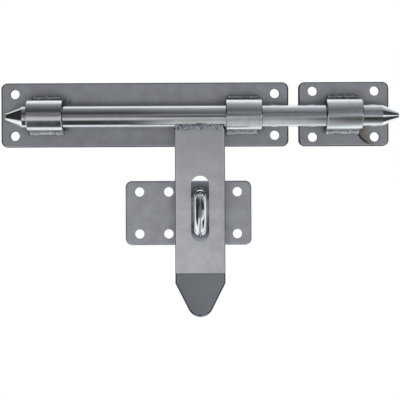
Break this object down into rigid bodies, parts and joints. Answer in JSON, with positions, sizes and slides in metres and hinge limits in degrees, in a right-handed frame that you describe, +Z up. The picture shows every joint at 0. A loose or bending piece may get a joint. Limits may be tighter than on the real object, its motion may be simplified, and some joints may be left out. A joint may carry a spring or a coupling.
{
  "type": "padbolt",
  "caption": "Padbolt for a door or gate: a round bolt with a slotted hasp slides in welded guides on a long plate into a keeper, and locks over a staple with a padlock.",
  "frame": {"origin": "centre of the main plate's back face, on the door's face", "axes": "+X along the bolt towards the keeper, +Y into the door, +Z up"},
  "size_m": [0.3998, 0.044, 0.2348],
  "materials": {
    "plate_zinc": "satin",
    "bar_zinc": "satin",
    "hasp_zinc": "satin",
    "weld_zinc": "satin"
  },
  "bodies": {
    "plates": {"main_plate": "plate_zinc", "guide_left": "bar_zinc", "guide_right": "bar_zinc", "keeper_plate": "plate_zinc", "keeper_guide": "bar_zinc", "staple_plate": "plate_zinc", "staple": "bar_zinc", "weld_left_upper": "weld_zinc", "weld_left_lower": "weld_zinc", "weld_right_upper": "weld_zinc", "weld_right_lower": "weld_zinc", "weld_keeper_upper": "weld_zinc", "weld_keeper_lower": "weld_zinc", "staple_weld_upper": "weld_zinc", "staple_weld_lower": "weld_zinc"},
    "bolt": {"bolt_bar": "bar_zinc"},
    "hasp": {"hasp": "hasp_zinc", "hasp_weld_front": "weld_zinc", "hasp_weld_back": "weld_zinc"}
  },
  "joints": [
    {"name": "bolt_slide", "type": "slide", "parent": "plates", "child": "bolt", "axis": [1, 0, 0], "range_m": [-0.0027, 0.0007]},
    {"name": "hasp_swing", "type": "hinge", "parent": "bolt", "child": "hasp", "pos_m": [0.0555, -0.0165, -0.0026], "axis": [-1, 0, 0], "range_deg": [-2, 175]}
  ]
}
